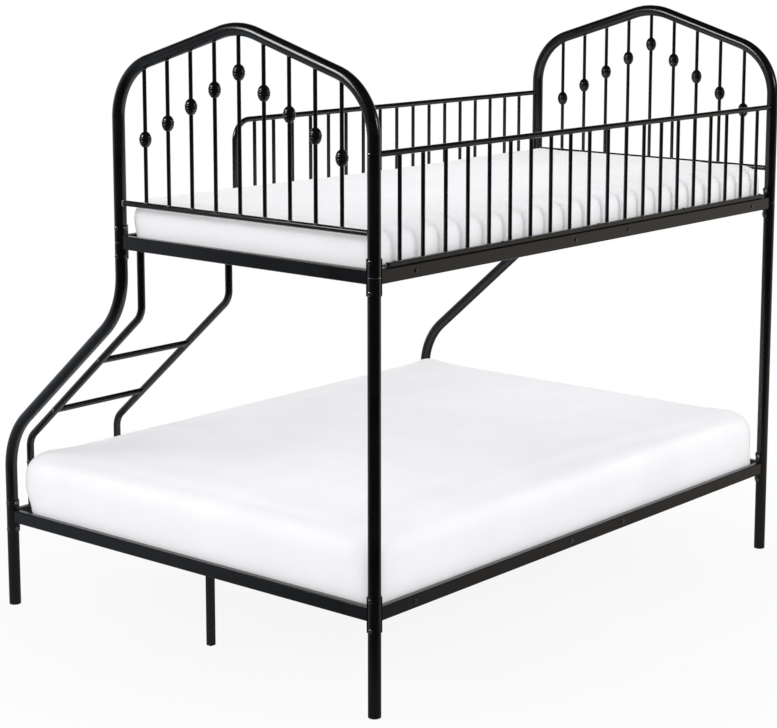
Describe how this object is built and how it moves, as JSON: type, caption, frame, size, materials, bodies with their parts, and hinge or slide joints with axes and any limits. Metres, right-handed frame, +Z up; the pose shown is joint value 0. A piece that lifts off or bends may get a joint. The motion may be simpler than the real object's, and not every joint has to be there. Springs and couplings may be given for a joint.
{
  "type": "metal bunk bed",
  "caption": "Black tube bunk bed with arched spindled ends, a narrow bunk over a wide one, flared front posts, guardrails, a sloping ladder and two mattresses.",
  "frame": {"origin": "on the floor, at the middle of the bed's box", "axes": "+X along the bed towards the end with the ladder, +Y towards the straight wall side, -Y towards the ladder side where the lower posts flare out, +Z up"},
  "size_m": [1.9916, 1.4912, 1.778],
  "materials": {
    "black_coat": "satin to gloss black powder coat on steel tube",
    "cast_coat": "the same coat on a slightly rough casting",
    "glide_plastic": "moulded black plastic",
    "sheet_cloth": "plain white fitted sheet over foam"
  },
  "bodies": {
    "frame": {"centre_beam": "black_coat", "far_arch_frame": "black_coat", "far_arch_grille": "black_coat", "far_centre_leg": "black_coat", "far_flared_glide": "glide_plastic", "far_flared_post": "black_coat", "far_knuckle_1": "cast_coat", "far_knuckle_2": "cast_coat", "far_knuckle_3": "cast_coat", "far_knuckle_4": "cast_coat", "far_knuckle_5": "cast_coat", "far_knuckle_6": "cast_coat", "far_knuckle_7": "cast_coat", "far_knuckle_8": "cast_coat", "far_knuckle_9": "cast_coat", "far_leg_glide": "glide_plastic", "far_wall_glide": "glide_plastic", "far_wall_post": "black_coat", "front_guardrail": "black_coat", "ladder_far_rail": "black_coat", "ladder_near_rail": "black_coat", "ladder_rung_1": "black_coat", "ladder_rung_2": "black_coat", "ladder_rung_3": "black_coat", "lower_far_end_rail": "black_coat", "lower_far_slat_panel": "black_coat", "lower_front_side_rail": "black_coat", "lower_near_end_rail": "black_coat", "lower_near_slat_panel": "black_coat", "lower_wall_side_rail": "black_coat", "middle_centre_leg": "black_coat", "middle_leg_glide": "glide_plastic", "near_arch_frame": "black_coat", "near_arch_grille": "black_coat", "near_centre_leg": "black_coat", "near_flared_glide": "glide_plastic", "near_flared_post": "black_coat", "near_knuckle_1": "cast_coat", "near_knuckle_2": "cast_coat", "near_knuckle_3": "cast_coat", "near_knuckle_4": "cast_coat", "near_knuckle_5": "cast_coat", "near_knuckle_6": "cast_coat", "near_knuckle_7": "cast_coat", "near_knuckle_8": "cast_coat", "near_knuckle_9": "cast_coat", "near_leg_glide": "glide_plastic", "near_wall_glide": "glide_plastic", "near_wall_post": "black_coat", "upper_far_end_rail": "black_coat", "upper_far_slat_panel": "black_coat", "upper_front_side_rail": "black_coat", "upper_near_end_rail": "black_coat", "upper_near_slat_panel": "black_coat", "upper_wall_side_rail": "black_coat", "wall_guardrail": "black_coat"},
    "upper_mattress": {"upper_mattress": "sheet_cloth"},
    "lower_mattress": {"lower_mattress": "sheet_cloth"}
  },
  "joints": [
    {"name": "upper_mattress_lift", "type": "slide", "parent": "frame", "child": "upper_mattress", "axis": [0, 0, 1], "range_m": [0, 0.3]},
    {"name": "lower_mattress_lift", "type": "slide", "parent": "frame", "child": "lower_mattress", "axis": [0, 0, 1], "range_m": [0, 0.03]}
  ]
}
